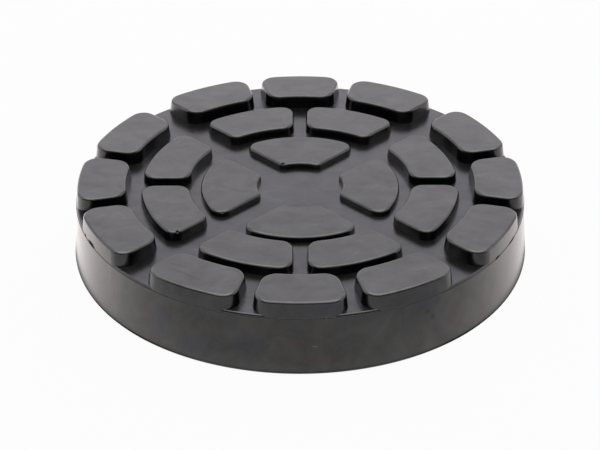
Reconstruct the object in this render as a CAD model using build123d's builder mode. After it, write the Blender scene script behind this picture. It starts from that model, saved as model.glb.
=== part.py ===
from build123d import *

import math
import os

# A round rubber pad for the arm of a vehicle lift, moulded in one piece: a plain drum
# with three rings of raised tread blocks, each ring lower than the one outside it.
# Millimetres, +Z up, origin at the centre of the flat underside.

# Drum
floor_height = 16.6  # from the underside up to the floor of the grooves
wall_flare = 1.3  # how far the foot of the drum stands out past the rim
underside_bevel_width = 1.2  # taken off the edge round the underside
underside_bevel_height = 1.6

# Radial sizes at the groove floor, from the middle outwards
centre_radius = 11.1
inner_block_length = 15.1
inner_groove_width = 2.8
middle_block_length = 13.0
outer_groove_width = 3.3
outer_block_length = 13.4

# Height of each ring's blocks above the groove floor
inner_tread_height = 1.6
middle_tread_height = 2.65
outer_tread_height = 3.75

# Straight channels between the blocks, at the groove floor
diagonal_channel_width = 7.3  # the cross of wide channels through all three rings
narrow_gap_width = 3.2  # on the axes in the middle ring, and between the blocks of the outer one
outer_gap_angle = 13.6  # degrees from an axis to the gaps in the outer ring

# Block form
block_draft = 6.0  # degrees, so that the blocks leave the mould
top_bevel = 0.35  # worn off the top edges
inner_ring_outside_corner = 3.2
inner_ring_tip_bevel = 0.6
middle_ring_outside_corner = 2.8
middle_ring_inside_corner = 1.4
outer_ring_outside_corner = 3.7
outer_ring_inside_corner = 2.4

inner_ring_radius = centre_radius + inner_block_length
middle_ring_start = inner_ring_radius + inner_groove_width
middle_ring_radius = middle_ring_start + middle_block_length
outer_ring_start = middle_ring_radius + outer_groove_width
rim_radius = outer_ring_start + outer_block_length
foot_radius = rim_radius + wall_flare
channel_length = 2 * foot_radius


def outside_corners(ring):
    return ring.vertices().group_by(SortBy.DISTANCE)[-1]


def inside_corners(ring):
    return ring.vertices().group_by(SortBy.DISTANCE)[0]


def cut_diagonal_channels(inset):
    with PolarLocations(0, 2, start_angle=45, angular_range=180):
        Rectangle(channel_length, diagonal_channel_width + 2 * inset, mode=Mode.SUBTRACT)


# Outlines of the blocks of one ring at a height. The inset is how far the draft has
# drawn the walls of the blocks in by then: nothing at the groove floor, most at the top.


def inner_ring_outlines(height, inset):
    # Four blocks between the diagonal channels
    with BuildSketch(Plane.XY.offset(height)) as ring:
        Circle(inner_ring_radius - inset)
        Circle(centre_radius + inset, mode=Mode.SUBTRACT)
        cut_diagonal_channels(inset)
        fillet(outside_corners(ring), inner_ring_outside_corner - inset)
        chamfer(inside_corners(ring), inner_ring_tip_bevel)
    return ring.sketch


def middle_ring_outlines(height, inset):
    # Four pairs, split on the axes by a narrow gap
    with BuildSketch(Plane.XY.offset(height)) as ring:
        Circle(middle_ring_radius - inset)
        Circle(middle_ring_start + inset, mode=Mode.SUBTRACT)
        cut_diagonal_channels(inset)
        with PolarLocations(0, 2, angular_range=180):
            Rectangle(channel_length, narrow_gap_width + 2 * inset, mode=Mode.SUBTRACT)
        fillet(outside_corners(ring), middle_ring_outside_corner - inset)
        fillet(inside_corners(ring), middle_ring_inside_corner - inset)
    return ring.sketch


def outer_ring_outlines(height, inset):
    # A block on each axis, with another on either side of it
    with BuildSketch(Plane.XY.offset(height)) as ring:
        Circle(rim_radius - inset)
        Circle(outer_ring_start + inset, mode=Mode.SUBTRACT)
        cut_diagonal_channels(inset)
        for side in (-1, 1):
            with PolarLocations(rim_radius, 4, start_angle=side * outer_gap_angle):
                Rectangle(rim_radius, narrow_gap_width + 2 * inset, mode=Mode.SUBTRACT)
        fillet(outside_corners(ring), outer_ring_outside_corner - inset)
        fillet(inside_corners(ring), outer_ring_inside_corner - inset)
    return ring.sketch


def tread_blocks(ring_outlines, tread_height):
    # Each block runs straight from its outline on the floor to its outline at the top
    top_inset = tread_height * math.tan(math.radians(block_draft))
    tops = ring_outlines(floor_height + tread_height, top_inset).faces()
    blocks = []
    for bottom in ring_outlines(floor_height, 0).faces():
        top_above = tops.sort_by_distance(bottom)[0]
        blocks.append(loft([bottom, top_above], ruled=True, mode=Mode.PRIVATE))
    return blocks


with BuildPart() as rubber_pad:
    # Drum, turned from half its section
    with BuildSketch(Plane.XZ):
        with BuildLine():
            Polyline(
                (0, floor_height),
                (0, 0),
                (foot_radius - underside_bevel_width, 0),
                (foot_radius, underside_bevel_height),
                (rim_radius, floor_height),
                close=True,
            )
        make_face()
    revolve(axis=Axis.Z)

    add(tread_blocks(inner_ring_outlines, inner_tread_height))
    add(tread_blocks(middle_ring_outlines, middle_tread_height))
    add(tread_blocks(outer_ring_outlines, outer_tread_height))

    # The top edges of all the blocks are taken off
    block_tops = rubber_pad.faces().filter_by(Plane.XY).filter_by(
        lambda face: face.center().Z > floor_height + inner_tread_height / 2
    )
    chamfer(block_tops.edges(), top_bevel)

rubber_pad.part.label = "rubber_pad"

os.makedirs("parts", exist_ok=True)
export_step(rubber_pad.part, "parts/rubber_pad.step")
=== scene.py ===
import math

import bmesh
import bpy
import mathutils
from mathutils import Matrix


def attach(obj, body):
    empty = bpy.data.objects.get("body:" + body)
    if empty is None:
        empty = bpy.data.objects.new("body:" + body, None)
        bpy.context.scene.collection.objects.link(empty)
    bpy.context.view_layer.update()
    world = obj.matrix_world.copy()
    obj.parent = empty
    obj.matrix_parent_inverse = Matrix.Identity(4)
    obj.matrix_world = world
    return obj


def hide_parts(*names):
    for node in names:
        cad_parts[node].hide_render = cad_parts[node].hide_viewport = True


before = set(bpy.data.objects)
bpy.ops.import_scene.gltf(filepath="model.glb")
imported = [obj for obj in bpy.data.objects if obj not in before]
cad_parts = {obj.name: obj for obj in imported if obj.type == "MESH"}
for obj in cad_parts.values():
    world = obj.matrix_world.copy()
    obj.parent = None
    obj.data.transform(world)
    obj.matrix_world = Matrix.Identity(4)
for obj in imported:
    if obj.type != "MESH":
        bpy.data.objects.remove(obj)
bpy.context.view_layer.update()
mm = 0.001


def deselectAll():
    bpy.ops.object.select_all(action="DESELECT")


def makeActive(piece):
    deselectAll()
    piece.select_set(True)
    bpy.context.view_layer.objects.active = piece


def makePiece(name, points, edges, faces):
    mesh = bpy.data.meshes.new(name)
    mesh.from_pydata(points, edges, faces)
    piece = bpy.data.objects.new(name, mesh)
    bpy.context.scene.collection.objects.link(piece)
    makeActive(piece)
    return piece


# The pad, with softer edges than the solid has: the drum is turned with its flash line,
# and every tread block is drawn up from the floor and rounded

drumShape = {
    "floorHeight": 16.6 * mm,
    "rimRadius": 58.7 * mm,
    "footRadius": 60.0 * mm,
    "footRounding": 1.6 * mm,
    "footSteps": 6,
    "lipRounding": 0.45 * mm,
    "lipSteps": 4,
    "flashHeight": 16.03 * mm,  # where the two halves of the mould met
    "flashReach": 0.11 * mm,
    "flashHalf": 0.06 * mm,  # half its thickness at the root
    "turnSteps": 288,
    "mergeGap": 0.002 * mm,
}


def arcPoints(across, height, radius, start, stop, steps):
    # an arc of the half section, angles in degrees up from the outward side
    points = []
    for step in range(steps + 1):
        angle = math.radians(start + (stop - start) * step / steps)
        points.append((across + radius * math.cos(angle), 0, height + radius * math.sin(angle)))
    return points


def makeDrum():
    foot, rim, lip = drumShape["footRounding"], drumShape["rimRadius"], drumShape["lipRounding"]
    floor, flash, half = drumShape["floorHeight"], drumShape["flashHeight"], drumShape["flashHalf"]
    lean = (drumShape["footRadius"] - rim) / (floor - foot)
    wallAtFlash = rim + (floor - flash) * lean
    section = [(0, 0, 0)]
    section += arcPoints(drumShape["footRadius"] - foot, foot, foot, -90, 0, drumShape["footSteps"])
    section.append((wallAtFlash + half * lean, 0, flash - half))
    section.append((wallAtFlash + drumShape["flashReach"], 0, flash))
    section.append((wallAtFlash - half * lean, 0, flash + half))
    section += arcPoints(rim - lip, floor - lip, lip, 0, 90, drumShape["lipSteps"])
    section.append((0, 0, floor))
    drum = makePiece("drum", section, [(step, step + 1) for step in range(len(section) - 1)], [])
    bpy.ops.object.mode_set(mode="EDIT")
    bpy.ops.mesh.select_all(action="SELECT")
    bpy.ops.mesh.spin(
        steps=drumShape["turnSteps"], angle=2 * math.pi, center=(0, 0, 0), axis=(0, 0, 1)
    )
    bpy.ops.mesh.select_all(action="SELECT")
    bpy.ops.mesh.remove_doubles(threshold=drumShape["mergeGap"])
    bpy.ops.mesh.normals_make_consistent(inside=False)
    bpy.ops.object.mode_set(mode="OBJECT")
    return drum


# A side of a block lies on one of the wide diagonal channels or on a narrow gap
treadShape = {
    "draft": 6,  # degrees
    "root": 0.6 * mm,  # how far the blocks reach down into the drum
    "halfWidth": {"channel": 3.65 * mm, "gap": 1.6 * mm},
    "channelAngle": 45,
    "outerGapAngle": 13.6,
    "topRounding": 0.62 * mm,
    "topSteps": 5,
    "cornerSteps": 7,
    "cornerClear": 1.1,  # corner roundings that the points of an arc keep off its ends
    "arcSteps": 14,
    "smoothAngle": 36,
    "sameSpot": 0.01 * mm,
}

# Each ring: radii at the floor, height of its tops, and how far each corner is rounded
# beside each kind of side
ringShape = {
    "inner": {
        "inside": 11.1 * mm,
        "outside": 26.2 * mm,
        "top": 18.2 * mm,
        "outsideCorners": {"channel": 4.0 * mm},
        "insideCorners": {"channel": 1.0 * mm},
    },
    "middle": {
        "inside": 29.0 * mm,
        "outside": 42.0 * mm,
        "top": 19.25 * mm,
        "outsideCorners": {"channel": 3.4 * mm, "gap": 3.8 * mm},
        "insideCorners": {"channel": 2.2 * mm, "gap": 3.0 * mm},
    },
    "outer": {
        "inside": 45.3 * mm,
        "outside": 58.7 * mm,
        "top": 20.35 * mm,
        "outsideCorners": {"channel": 4.2 * mm, "gap": 4.2 * mm},
        "insideCorners": {"channel": 3.6 * mm, "gap": 3.8 * mm},
    },
}


def sideAngle(side, inset, radius):
    # where one side of a block, a line beside a ray from the centre, meets a circle
    reach = treadShape["halfWidth"][side["kind"]] + inset
    return math.radians(side["ray"]) + side["towards"] * math.asin(reach / radius)


def blockLoop(ring, first, last, height, inset):
    # the outline of a block at one height, counterclockwise, starting at an outside corner
    steps, clear = treadShape["arcSteps"], treadShape["cornerClear"]
    loop = []
    arcs = (
        (ring["outside"] - inset, first, last, "outsideCorners"),
        (ring["inside"] + inset, last, first, "insideCorners"),
    )
    for radius, begin, finish, corners in arcs:
        start, stop = sideAngle(begin, inset, radius), sideAngle(finish, inset, radius)
        direction = 1 if stop > start else -1
        inner = start + direction * clear * ring[corners][begin["kind"]] / radius
        outer = stop - direction * clear * ring[corners][finish["kind"]] / radius
        angles = [start]
        angles += [inner + (outer - inner) * step / steps for step in range(steps + 1)]
        angles.append(stop)
        loop += [(radius * math.cos(angle), radius * math.sin(angle), height) for angle in angles]
    return loop


def bevelEdges(piece, wanted, offset, steps):
    # rounds the edges whose two ends pass the test
    bpy.ops.mesh.select_mode(type="EDGE")
    bpy.ops.mesh.select_all(action="DESELECT")
    mesh = bmesh.from_edit_mesh(piece.data)
    for edge in mesh.edges:
        if wanted(edge.verts[0].co) and wanted(edge.verts[1].co):
            edge.select_set(True)
    bmesh.update_edit_mesh(piece.data)
    bpy.ops.mesh.bevel(
        offset_type="OFFSET", offset=offset, segments=steps, affect="EDGES", clamp_overlap=False
    )


def makeBlock(ring, first, last):
    draft = math.tan(math.radians(treadShape["draft"]))
    floor, top, root = drumShape["floorHeight"], ring["top"], treadShape["root"]
    low = blockLoop(ring, first, last, floor - root, -root * draft)
    high = blockLoop(ring, first, last, top, (top - floor) * draft)
    count = len(low)
    faces = []
    for step in range(count):
        after = (step + 1) % count
        faces.append((step, after, after + count, step + count))
    faces.append(tuple(range(count, 2 * count)))
    faces.append(tuple(reversed(range(count))))
    block = makePiece("block", low + high, [], faces)
    half = count // 2
    corners = (
        (0, ring["outsideCorners"][first["kind"]]),
        (half - 1, ring["outsideCorners"][last["kind"]]),
        (half, ring["insideCorners"][last["kind"]]),
        (count - 1, ring["insideCorners"][first["kind"]]),
    )
    near = treadShape["sameSpot"]
    bpy.ops.object.mode_set(mode="EDIT")
    for number, offset in corners:
        foot, head = mathutils.Vector(low[number]), mathutils.Vector(high[number])
        bevelEdges(
            block,
            lambda end: min((end - foot).length, (end - head).length) < near,
            offset,
            treadShape["cornerSteps"],
        )
    bevelEdges(
        block, lambda end: end.z > top - near, treadShape["topRounding"], treadShape["topSteps"]
    )
    bpy.ops.object.mode_set(mode="OBJECT")
    return block


# Small nicks in the upper edges of three blocks: places and size of the cutter
edgeNicks = {
    "places": (
        (-30.9 * mm, -24.8 * mm, 19.0 * mm),
        (-4.6 * mm, 10.95 * mm, 17.95 * mm),
        (-20.0 * mm, -13.9 * mm, 18.05 * mm),
    ),
    "radius": 0.5 * mm,
    "blockWithin": 1.2 * mm,  # a block this near to a place is the one that is cut
}


def cutNicks(block):
    for place in edgeNicks["places"]:
        gaps = [(mathutils.Vector(place) - point.co).length for point in block.data.vertices]
        if min(gaps) > edgeNicks["blockWithin"]:
            continue
        deselectAll()
        bpy.ops.mesh.primitive_ico_sphere_add(
            subdivisions=2, radius=edgeNicks["radius"], location=place
        )
        cutter = bpy.context.active_object
        makeActive(block)
        cut = block.modifiers.new("nick", "BOOLEAN")
        cut.operation = "DIFFERENCE"
        cut.solver = "EXACT"
        cut.object = cutter
        bpy.ops.object.modifier_apply(modifier=cut.name)
        makeActive(cutter)
        bpy.ops.object.delete()
        print("nick cut at", [round(value / mm, 1) for value in place])


def makeBlocks():
    channelAngle, gapAngle = treadShape["channelAngle"], treadShape["outerGapAngle"]
    plan = (  # the blocks of one quarter: ring, then the angle and kind of either side
        ("inner", (-channelAngle, "channel"), (channelAngle, "channel")),
        ("middle", (-channelAngle, "channel"), (0, "gap")),
        ("middle", (0, "gap"), (channelAngle, "channel")),
        ("outer", (-channelAngle, "channel"), (-gapAngle, "gap")),
        ("outer", (-gapAngle, "gap"), (gapAngle, "gap")),
        ("outer", (gapAngle, "gap"), (channelAngle, "channel")),
    )
    blocks = []
    for turn in (0, 90, 180, 270):
        for name, begin, finish in plan:
            first = {"ray": begin[0] + turn, "towards": 1, "kind": begin[1]}
            last = {"ray": finish[0] + turn, "towards": -1, "kind": finish[1]}
            block = makeBlock(ringShape[name], first, last)
            cutNicks(block)
            blocks.append(block)
    return blocks


pad = makeDrum()
blocks = makeBlocks()
makeActive(pad)
for block in blocks:
    block.select_set(True)
bpy.ops.object.join()
pad.name = "rubberPad"
bpy.ops.object.shade_smooth_by_angle(angle=math.radians(treadShape["smoothAngle"]))
weigh = pad.modifiers.new("weighted", "WEIGHTED_NORMAL")
weigh.keep_sharp = True
bpy.ops.object.modifier_apply(modifier=weigh.name)
print("pad shaped:", len(pad.data.polygons), "faces")


# Rubber: nearly black, with a thin grey film on the tops that also paints them lighter than the
# grooves, a brown bloom on the wall, a few marks, and painted shadow along the flash line and in
# its gaps

rubberLook = {
    "blackRubber": (0.0025, 0.0025, 0.0027, 1),
    # the grey film is real, but its rise with height is painted light on the tops and painted shade
    # on the groove floors
    "greyFilmAndPaintedLight": (0.018, 0.0173, 0.0188, 1),
    "filmAndPaintedLightAmount": 0.6,
    "filmSmears": (0.3, 0.75),  # over this range of the smears
    "filmShare": (0.6, 1.2),  # the film goes from thin to thick
    "brownBloom": (0.012, 0.008, 0.006, 1),
    "bloomAmount": (0.25, 0.75),  # between the clouds and in them
    "plainTint": (1, 1, 1, 1),
    "warmTint": (1, 0.93, 0.90, 1),
    "coolTint": (0.88, 0.88, 1, 1),
    "coolInChannels": 0.65,
    "paleScrape": (0.14, 0.135, 0.13, 1),
    "grainSize": 0.35 * mm,
    "grainDepth": 0.012 * mm,
    "grainStrength": 0.6,
    "smearLength": 9 * mm,
    "bloomSize": 13 * mm,
    "speckSpacing": 5 * mm,
    "roughness": (0.20, 0.28),
    "paintedShadeRoughness": 0.3,  # added on the painted shadow of the flash line and its gaps
    "sheen": (0.38, 0.63),
    "sheenUnderPaintedShade": 0.02,  # share of the sheen left under the full painted shadow
    "paintedGrooveShade": 0.1,  # painted shade: share of the sheen taken off down in the grooves
    "faintAmount": 0.22,  # how strongly the specks and faint streaks, real marks, take off sheen, against the painted shadow
    "seamHeight": 15.98 * mm,  # of the painted shadow under the ridge of the flash line
    "seamFade": (0.052 * mm, 0.13 * mm),  # it fades between these distances from there
    "seamSmears": (0.35, 0.6),  # over this range of the smears
    "seamShare": (0.35, 1),  # it goes from thin to full
    "upwardFade": (0.2, 0.95),  # from a wall to a top, by how far a face looks up
    "treadHeights": (16.6 * mm, 20.4 * mm),  # from the floor of the grooves to the highest tops
    "channelHeights": (16.7 * mm, 17.4 * mm),  # the cool tint of the channels ends here
    "bloomHeights": (15.9 * mm, 16.6 * mm),  # and the bloom of the wall here
}

skinPattern = {
    "grain": {"detail": 3, "roughness": 0.6, "distortion": 0},
    "smear": {"detail": 7, "roughness": 0.72, "distortion": 0.6},
    "smearTurn": 28,  # degrees about the upright
    "smearStretch": 1.7,
    "smearRange": (0.3, 0.7),  # values of the noise that count as none and as full
    "bloom": {"detail": 3, "roughness": 0.55, "distortion": 0.4},
    "bloomRange": (0.45, 0.68),
    "speckFade": (0.03, 0.075),  # radii of a speck, in spacings
    "markFade": (0.35, 1),  # a mark fades between these parts of its reach
}

# Marks: centre and reach in millimetres, turn about the upright in degrees
rubberMarks = {
    "warm": (
        ((-1.0, -59.3, 9.5), (4.5, 4.0, 2.4), 0),
        ((2.5, -59.6, 4.6), (10.0, 4.0, 2.2), 0),
        ((-47.5, -35.8, 8.0), (5.0, 5.0, 4.0), 0),
        ((-54.0, -26.0, 7.5), (4.0, 6.5, 6.0), 0),
        ((39.0, -45.0, 7.2), (6.0, 6.0, 6.5), 0),
        ((53.0, -27.0, 9.0), (4.0, 8.0, 6.0), 0),
    ),
    "cool": (
        ((-26.3, -53.6, 5.0), (6.0, 5.0, 4.0), 0),
        ((-12.5, -58.1, 8.6), (5.0, 4.0, 4.0), 0),
        ((29.6, -50.6, 15.5), (6.0, 6.0, 4.0), 0),
        ((-34.4, -48.4, 9.0), (5.0, 5.0, 5.0), 0),
        ((8.0, -58.6, 18.5), (10.0, 3.0, 2.5), 0),
    ),
    # dark: painted shadow in gaps of the flash line, where the flash lifts off the wall
    "dark": (
        ((-52.6, -26.2, 16.4), (1.2, 3.0, 0.85), 26),
        ((-54.6, -22.0, 16.4), (1.0, 0.9, 0.5), 22),
        ((53.6, -24.4, 16.0), (1.2, 3.4, 0.5), -24),
        ((49.2, -32.4, 16.0), (1.2, 1.8, 0.5), -33),
    ),
    "faint": (
        ((30.8, -50.6, 12.4), (1.2, 1.2, 1.0), 0),
        ((32.2, -49.9, 10.4), (0.8, 0.8, 1.4), 0),
        ((-49.6, -33.8, 3.4), (0.8, 0.8, 0.6), 0),
        ((-48.0, -36.0, 5.2), (0.6, 0.6, 0.6), 0),
        ((-27.9, -45.7, 20.35), (7.0, 0.55, 1.0), -34),
        ((-29.5, -42.0, 20.35), (4.0, 0.4, 1.0), -20),
        ((10.6, -53.8, 20.35), (2.4, 0.5, 1.0), 12),
        ((-44.8, -8.4, 16.6), (0.5, 5.0, 1.0), 8),
        ((-2.9, -8.4, 16.6), (6.0, 0.7, 1.0), 15),
    ),
    "pale": (
        ((6.05, -58.8, 16.1), (0.5, 0.8, 0.2), 0),
        ((3.5, -59.4, 8.4), (1.1, 0.8, 0.22), 0),
    ),
}


def newGroup(name, inputs, outputs):
    group = bpy.data.node_groups.new(name, "ShaderNodeTree")
    for direction, sockets in (("INPUT", inputs), ("OUTPUT", outputs)):
        for label, kind in sockets.items():
            group.interface.new_socket(name=label, in_out=direction, socket_type=kind)
    entry = group.nodes.new("NodeGroupInput")
    leave = group.nodes.new("NodeGroupOutput")
    return group, entry, leave


def addNode(tree, kind, **settings):
    node = tree.nodes.new(kind)
    for key, value in settings.items():
        setattr(node, key, value)
    return node


def feed(tree, socket, value):
    # a socket takes a plain value or the output of another node
    if isinstance(value, bpy.types.NodeSocket):
        tree.links.new(value, socket)
    else:
        socket.default_value = value


def joinMath(tree, operation, first, second):
    node = addNode(tree, "ShaderNodeMath", operation=operation)
    feed(tree, node.inputs[0], first)
    feed(tree, node.inputs[1], second)
    return node.outputs[0]


def joinVector(tree, operation, first, second):
    node = addNode(tree, "ShaderNodeVectorMath", operation=operation)
    feed(tree, node.inputs[0], first)
    feed(tree, node.inputs[1], second)
    return node.outputs[0]


def vectorLength(tree, value):
    node = addNode(tree, "ShaderNodeVectorMath", operation="LENGTH")
    feed(tree, node.inputs[0], value)
    return node.outputs["Value"]


def splitVector(tree, value):
    node = addNode(tree, "ShaderNodeSeparateXYZ")
    feed(tree, node.inputs["Vector"], value)
    return node.outputs


def mapValue(tree, value, span, result, smooth=False):
    # the span of values turned into another one, with nothing past its ends
    kind = "SMOOTHSTEP" if smooth else "LINEAR"
    node = addNode(tree, "ShaderNodeMapRange", interpolation_type=kind)
    feed(tree, node.inputs["Value"], value)
    feed(tree, node.inputs["From Min"], span[0])
    feed(tree, node.inputs["From Max"], span[1])
    feed(tree, node.inputs["To Min"], result[0])
    feed(tree, node.inputs["To Max"], result[1])
    return node.outputs["Result"]


def mixColour(tree, share, first, second):
    node = addNode(tree, "ShaderNodeMix", data_type="RGBA")
    feed(tree, node.inputs["Factor"], share)
    feed(tree, node.inputs["A"], first)
    feed(tree, node.inputs["B"], second)
    return node.outputs["Result"]


def addNoise(tree, place, size, detail, roughness, distortion):
    # size is a length: the socket of a group, so that a material can set it
    noise = addNode(tree, "ShaderNodeTexNoise")
    feed(tree, noise.inputs["Vector"], place)
    feed(tree, noise.inputs["Scale"], joinMath(tree, "DIVIDE", 1, size))
    feed(tree, noise.inputs["Detail"], detail)
    feed(tree, noise.inputs["Roughness"], roughness)
    feed(tree, noise.inputs["Distortion"], distortion)
    return noise.outputs["Fac"]


def makeSkin():
    # fine moulded grain, longer smears, broad clouds of bloom and a few specks
    number = "NodeSocketFloat"
    group, entry, leave = newGroup(
        "mouldedSkin",
        {
            "Place": "NodeSocketVector",
            "Grain Size": number,
            "Smear Length": number,
            "Bloom Size": number,
            "Speck Spacing": number,
        },
        {"Grain": number, "Smear": number, "Bloom": number, "Specks": number},
    )
    place, sizes, results = entry.outputs["Place"], entry.outputs, leave.inputs
    grain = addNoise(group, place, sizes["Grain Size"], **skinPattern["grain"])
    feed(group, results["Grain"], grain)
    turned = addNode(group, "ShaderNodeMapping")
    turned.inputs["Rotation"].default_value = (0, 0, math.radians(skinPattern["smearTurn"]))
    turned.inputs["Scale"].default_value = (1, skinPattern["smearStretch"], 1)
    feed(group, turned.inputs["Vector"], place)
    along = turned.outputs["Vector"]
    smear = addNoise(group, along, sizes["Smear Length"], **skinPattern["smear"])
    feed(group, results["Smear"], smear)
    bloom = addNoise(group, place, sizes["Bloom Size"], **skinPattern["bloom"])
    bloom = mapValue(group, bloom, skinPattern["bloomRange"], (0, 1), smooth=True)
    feed(group, results["Bloom"], bloom)
    cells = addNode(group, "ShaderNodeTexVoronoi")
    feed(group, cells.inputs["Vector"], place)
    feed(group, cells.inputs["Scale"], joinMath(group, "DIVIDE", 1, sizes["Speck Spacing"]))
    away = cells.outputs["Distance"]
    specks = mapValue(group, away, skinPattern["speckFade"], (1, 0), smooth=True)
    feed(group, results["Specks"], specks)
    return group


def makeMark():
    # a soft oval round a place, turned about the upright
    vector = "NodeSocketVector"
    group, entry, leave = newGroup(
        "softMark",
        {"Place": vector, "Centre": vector, "Reach": vector, "Turn": "NodeSocketFloat"},
        {"Mask": "NodeSocketFloat"},
    )
    given = entry.outputs
    away = joinVector(group, "SUBTRACT", given["Place"], given["Centre"])
    turned = addNode(group, "ShaderNodeVectorRotate", rotation_type="Z_AXIS")
    feed(group, turned.inputs["Vector"], away)
    feed(group, turned.inputs["Angle"], joinMath(group, "MULTIPLY", given["Turn"], -1))
    scaled = joinVector(group, "DIVIDE", turned.outputs[0], given["Reach"])
    distance = vectorLength(group, scaled)
    mask = mapValue(group, distance, skinPattern["markFade"], (1, 0), smooth=True)
    feed(group, leave.inputs["Mask"], mask)
    return group


def placeMarks(tree, mark, place, marks):
    whole = None
    for centre, reach, turn in marks:
        node = addNode(tree, "ShaderNodeGroup", node_tree=mark)
        feed(tree, node.inputs["Place"], place)
        node.inputs["Centre"].default_value = [value * mm for value in centre]
        node.inputs["Reach"].default_value = [value * mm for value in reach]
        node.inputs["Turn"].default_value = math.radians(turn)
        mask = node.outputs["Mask"]
        whole = mask if whole is None else joinMath(tree, "MAXIMUM", whole, mask)
    return whole


def makeRubber():
    look, smears = rubberLook, skinPattern["smearRange"]
    rubber = bpy.data.materials.new("mouldedRubber")
    rubber.use_nodes = True
    tree = rubber.node_tree
    shader = tree.nodes["Principled BSDF"].inputs
    place = addNode(tree, "ShaderNodeTexCoord").outputs["Object"]
    marks = {}
    markGroup = makeMark()
    for name, spots in rubberMarks.items():
        marks[name] = placeMarks(tree, markGroup, place, spots)
    skinNode = addNode(tree, "ShaderNodeGroup", node_tree=makeSkin())
    feed(tree, skinNode.inputs["Place"], place)
    feed(tree, skinNode.inputs["Grain Size"], look["grainSize"])
    feed(tree, skinNode.inputs["Smear Length"], look["smearLength"])
    feed(tree, skinNode.inputs["Bloom Size"], look["bloomSize"])
    feed(tree, skinNode.inputs["Speck Spacing"], look["speckSpacing"])
    skin = skinNode.outputs
    height = splitVector(tree, place)["Z"]
    normal = addNode(tree, "ShaderNodeNewGeometry").outputs["Normal"]
    facing = splitVector(tree, normal)["Z"]
    upward = mapValue(tree, facing, look["upwardFade"], (0, 1), smooth=True)

    # film and painted light: a grey film broken up by the smears, on faces that look up; it is laid
    # thicker on the higher ones, which paints the tops lit and the groove floors shaded
    filmAndPaintedLight = mapValue(tree, skin["Smear"], look["filmSmears"], look["filmShare"])
    filmAndPaintedLight = joinMath(tree, "MULTIPLY", upward, filmAndPaintedLight)
    paintedLightByHeight = mapValue(tree, height, look["treadHeights"], (0, 1))
    filmAndPaintedLight = joinMath(tree, "MULTIPLY", filmAndPaintedLight, paintedLightByHeight)
    filmAndPaintedLight = joinMath(tree, "MULTIPLY", filmAndPaintedLight, look["filmAndPaintedLightAmount"])
    colour = mixColour(tree, filmAndPaintedLight, look["blackRubber"], look["greyFilmAndPaintedLight"])

    # bloom: brown on the wall, in clouds and in the places that the photo shows
    belowSeam = mapValue(tree, height, look["bloomHeights"], (1, 0))
    clouds = mapValue(tree, skin["Bloom"], (0, 1), look["bloomAmount"])
    clouds = joinMath(tree, "MULTIPLY", clouds, belowSeam)
    warm = joinMath(tree, "MAXIMUM", clouds, marks["warm"])
    warm = joinMath(tree, "MULTIPLY", warm, joinMath(tree, "SUBTRACT", 1, upward))
    colour = mixColour(tree, warm, colour, look["brownBloom"])
    colour = mixColour(tree, marks["pale"], colour, look["paleScrape"])
    feed(tree, shader["Base Color"], colour)

    # tint of the gloss: warm with the bloom, cool in the channels and on parts of the wall
    channels = mapValue(tree, height, look["channelHeights"], (look["coolInChannels"], 0))
    channels = joinMath(tree, "MULTIPLY", upward, channels)
    cool = joinMath(tree, "MAXIMUM", channels, marks["cool"])
    tint = mixColour(tree, warm, look["plainTint"], look["warmTint"])
    feed(tree, shader["Specular Tint"], mixColour(tree, cool, tint, look["coolTint"]))

    # painted shadow: along the flash line, under its ridge, and in the dark spots, gaps in the
    # flash, the rubber is roughened and keeps almost no sheen, while specks and faint streaks, real
    # marks, only take off some sheen
    offSeam = joinMath(tree, "SUBTRACT", height, look["seamHeight"])
    offSeam = joinMath(tree, "ABSOLUTE", offSeam, 0)
    seam = mapValue(tree, offSeam, look["seamFade"], (1, 0), smooth=True)
    broken = mapValue(tree, skin["Smear"], look["seamSmears"], look["seamShare"])
    paintedShadeAndMarks = joinMath(tree, "MAXIMUM", joinMath(tree, "MULTIPLY", seam, broken), marks["dark"])
    rough = mapValue(tree, skin["Smear"], smears, look["roughness"])
    rougher = joinMath(tree, "MULTIPLY", paintedShadeAndMarks, look["paintedShadeRoughness"])
    feed(tree, shader["Roughness"], joinMath(tree, "ADD", rough, rougher))
    faint = joinMath(tree, "MAXIMUM", marks["faint"], skin["Specks"])
    faint = joinMath(tree, "MULTIPLY", faint, look["faintAmount"])
    paintedShadeAndMarks = joinMath(tree, "MAXIMUM", paintedShadeAndMarks, faint)

    # sheen: follows the smears; painted shade takes a little off down in the grooves, and the
    # painted shadow of the flash line nearly all
    sheen = mapValue(tree, skin["Smear"], smears, look["sheen"])
    grooveShade = mapValue(tree, height, look["treadHeights"], (look["paintedGrooveShade"], 0))
    grooveShade = joinMath(tree, "MULTIPLY", upward, grooveShade)
    sheen = joinMath(tree, "MULTIPLY", sheen, joinMath(tree, "SUBTRACT", 1, grooveShade))
    sheenLeft = mapValue(tree, paintedShadeAndMarks, (0, 1), (1, look["sheenUnderPaintedShade"]))
    feed(tree, shader["Specular IOR Level"], joinMath(tree, "MULTIPLY", sheen, sheenLeft))

    bump = addNode(tree, "ShaderNodeBump")
    bump.inputs["Strength"].default_value = look["grainStrength"]
    bump.inputs["Distance"].default_value = look["grainDepth"]
    feed(tree, bump.inputs["Height"], skin["Grain"])
    feed(tree, shader["Normal"], bump.outputs["Normal"])
    return rubber


pad.data.materials.append(makeRubber())
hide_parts("rubber_pad")
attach(pad, "root")
print("rubber made")


# Stage: white table, white room and soft light from behind, above and both sides

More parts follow.
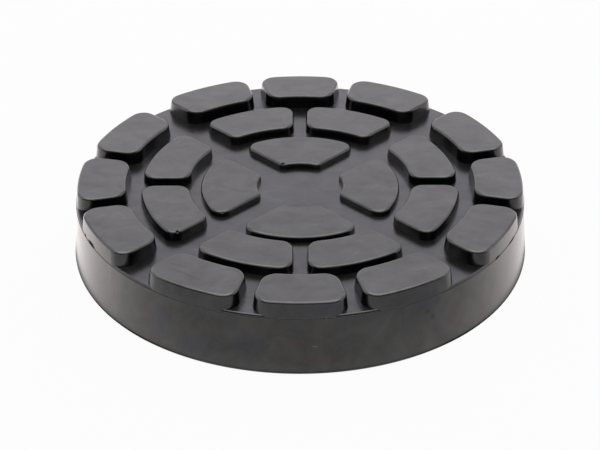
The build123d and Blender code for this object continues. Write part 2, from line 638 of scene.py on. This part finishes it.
tableSetup = {
    "size": 4.0,
    "colour": (0.9, 0.9, 0.9, 1),
    "roughness": 0.9,
    "glow": 0.96,  # how far the table shows plain white to the camera
    "glowColour": (1, 1, 1, 1),
    "glowFront": 1.18,  # and how bright it mirrors in the rubber, in front and behind: painted light, dim in front in the pad's painted shadow, bright behind as a painted lit table
    "glowBack": 2.3,
    "glowRight": 0.82,  # share of that on the right
    "glowUnder": 0.4,  # and in the painted contact shadow close under the front edge of the pad; nothing at its sides
    "glowSides": (1, 0.955, 0.945, 1),  # colour beside and behind the pad
    "backFade": (-0.082, 0.0),  # where each of these comes in, in metres
    "rightFade": (0.02, 0.07),
    "underFade": (0.0604, 0.0630),
    "underSides": (-0.056, -0.045),
    "sidesFade": (-0.07, -0.02),
}


def makeTable():
    setup = tableSetup
    deselectAll()
    bpy.ops.mesh.primitive_plane_add(size=setup["size"], location=(0, 0, 0))
    table = bpy.context.active_object
    table.name = "table"
    paint = bpy.data.materials.new("whiteTable")
    paint.use_nodes = True
    tree = paint.node_tree
    shader = tree.nodes["Principled BSDF"]
    shader.inputs["Base Color"].default_value = setup["colour"]
    shader.inputs["Roughness"].default_value = setup["roughness"]
    path = addNode(tree, "ShaderNodeLightPath").outputs
    place = addNode(tree, "ShaderNodeTexCoord").outputs["Object"]
    spot = splitVector(tree, place)
    # painted light, seen only in the rubber: the glow is brighter behind the pad than in front of
    # it, a little dimmer on the right, and dark in the painted shadow where the pad shades the
    # table
    back = (setup["glowFront"], setup["glowBack"])
    fade = mapValue(tree, spot["Y"], setup["backFade"], back, smooth=True)
    right = mapValue(tree, spot["X"], setup["rightFade"], (1, setup["glowRight"]), smooth=True)
    shade = mapValue(tree, spot["Y"], setup["underSides"], (setup["glowUnder"], 0))
    middle = vectorLength(tree, place)
    under = mapValue(tree, middle, setup["underFade"], (shade, 1), smooth=True)
    mirrored = joinMath(tree, "MULTIPLY", joinMath(tree, "MULTIPLY", fade, right), under)
    beside = mapValue(tree, spot["Y"], setup["sidesFade"], (0, 1), smooth=True)
    beside = joinMath(tree, "MULTIPLY", beside, path["Is Glossy Ray"])
    tint = mixColour(tree, beside, setup["glowColour"], setup["glowSides"])
    glow = addNode(tree, "ShaderNodeEmission")
    feed(tree, glow.inputs["Color"], tint)
    strength = mapValue(tree, path["Is Glossy Ray"], (0, 1), (1, mirrored))
    feed(tree, glow.inputs["Strength"], strength)
    seen = joinMath(tree, "MAXIMUM", path["Is Camera Ray"], path["Is Glossy Ray"])
    mixed = addNode(tree, "ShaderNodeMixShader")
    feed(tree, mixed.inputs["Fac"], joinMath(tree, "MULTIPLY", seen, setup["glow"]))
    feed(tree, mixed.inputs[1], shader.outputs["BSDF"])
    feed(tree, mixed.inputs[2], glow.outputs["Emission"])
    feed(tree, tree.nodes["Material Output"].inputs["Surface"], mixed.outputs["Shader"])
    table.data.materials.append(paint)


roomSetup = {
    "colour": (1, 1, 1, 1),
    "strength": 0.08,
    "front": 0.06,  # painted reflection: share left where the camera stands, as mirrored in the rubber
    "above": 4.0,  # and how bright it mirrors overhead, a painted reflection seen only by glossy rays
    "frontFade": (-0.5, -0.1),  # where these come in, as parts of a direction
    "lowFade": (0.05, 0.2),
    "highFade": (0.42, 0.6),
    "aboveFade": (0.7, 0.88),
}


def makeRoom():
    setup = roomSetup
    world = bpy.data.worlds.new("studio")
    bpy.context.scene.world = world
    world.use_nodes = True
    tree = world.node_tree
    background = tree.nodes["Background"].inputs
    background["Color"].default_value = setup["colour"]
    path = addNode(tree, "ShaderNodeLightPath").outputs
    # white to the camera; in the rubber a painted reflection, brighter overhead and dark where the
    # camera stands
    spot = splitVector(tree, addNode(tree, "ShaderNodeTexCoord").outputs["Generated"])
    front = mapValue(tree, spot["Y"], setup["frontFade"], (1, 0), smooth=True)
    low = mapValue(tree, spot["Z"], setup["lowFade"], (0, 1), smooth=True)
    high = mapValue(tree, spot["Z"], setup["highFade"], (1, 0), smooth=True)
    dark = joinMath(tree, "MULTIPLY", front, joinMath(tree, "MULTIPLY", low, high))
    ceiling = mapValue(tree, spot["Z"], setup["aboveFade"], (1, setup["above"]), smooth=True)
    dimmed = mapValue(tree, dark, (0, 1), (1, setup["front"]))
    mirrored = joinMath(tree, "MULTIPLY", ceiling, dimmed)
    glossy = joinMath(tree, "MULTIPLY", path["Is Glossy Ray"], mirrored)
    seen = joinMath(tree, "MAXIMUM", path["Is Camera Ray"], glossy)
    feed(tree, background["Strength"], joinMath(tree, "MAXIMUM", seen, setup["strength"]))


# Softboxes, all aimed at the middle of the table
softboxes = {
    "backSoftbox": {
        "place": (0, 1.0, 0.65),
        "size": (2.2, 1.1),
        "power": 7.1,
        "colour": (0.97, 0.91, 1),
    },
    "topSoftbox": {
        "place": (0, 0.12, 1.0),
        "size": (0.9, 0.7),
        "power": 3.0,
        "colour": (1, 1, 1),
    },
    "leftSoftbox": {
        "place": (-1.0, 0.1, 0.4),
        "size": (0.9, 0.7),
        "power": 2.0,
        "colour": (1, 1, 1),
    },
    "rightSoftbox": {
        "place": (1.0, 0.1, 0.4),
        "size": (0.9, 0.7),
        "power": 2.0,
        "colour": (1, 1, 1),
    },
}


def addSoftbox(name, setup):
    lamp = bpy.data.lights.new(name, "AREA")
    lamp.shape = "RECTANGLE"
    lamp.size, lamp.size_y = setup["size"]
    lamp.energy = setup["power"]
    lamp.color = setup["colour"]
    box = bpy.data.objects.new(name, lamp)
    bpy.context.scene.collection.objects.link(box)
    box.location = setup["place"]
    box.rotation_euler = box.location.to_track_quat("Z", "Y").to_euler()


makeTable()
makeRoom()
for name, setup in softboxes.items():
    addSoftbox(name, setup)
print("stage lit")


# Camera: from the front, a third of the way up to straight down

cameraSetup = {
    "sensorWidth": 36,
    "imageWidth": 600,
    "focalPixels": 1781.3,
    "elevation": 32.0,
    "distance": 476.3 * mm,
    "aimAcross": -0.05 * mm,
    "aimHeight": 5.52 * mm,
    "roll": -0.16,
    "clipStart": 0.01,
}


def placeCamera():
    setup = cameraSetup
    lens = bpy.data.cameras.new("camera")
    lens.sensor_width = setup["sensorWidth"]
    lens.lens = setup["focalPixels"] * setup["sensorWidth"] / setup["imageWidth"]
    lens.clip_start = setup["clipStart"]
    camera = bpy.data.objects.new("camera", lens)
    bpy.context.scene.collection.objects.link(camera)
    tilt = math.radians(setup["elevation"])
    away = setup["distance"]
    camera.location = (
        setup["aimAcross"],
        -away * math.cos(tilt),
        setup["aimHeight"] + away * math.sin(tilt),
    )
    turn = mathutils.Euler((math.radians(90) - tilt, 0, 0)).to_quaternion()
    roll = mathutils.Quaternion((0, 0, 1), math.radians(setup["roll"]))
    camera.rotation_euler = (turn @ roll).to_euler()
    bpy.context.scene.camera = camera


placeCamera()
bpy.context.scene.view_settings.view_transform = "Standard"
print("camera placed")
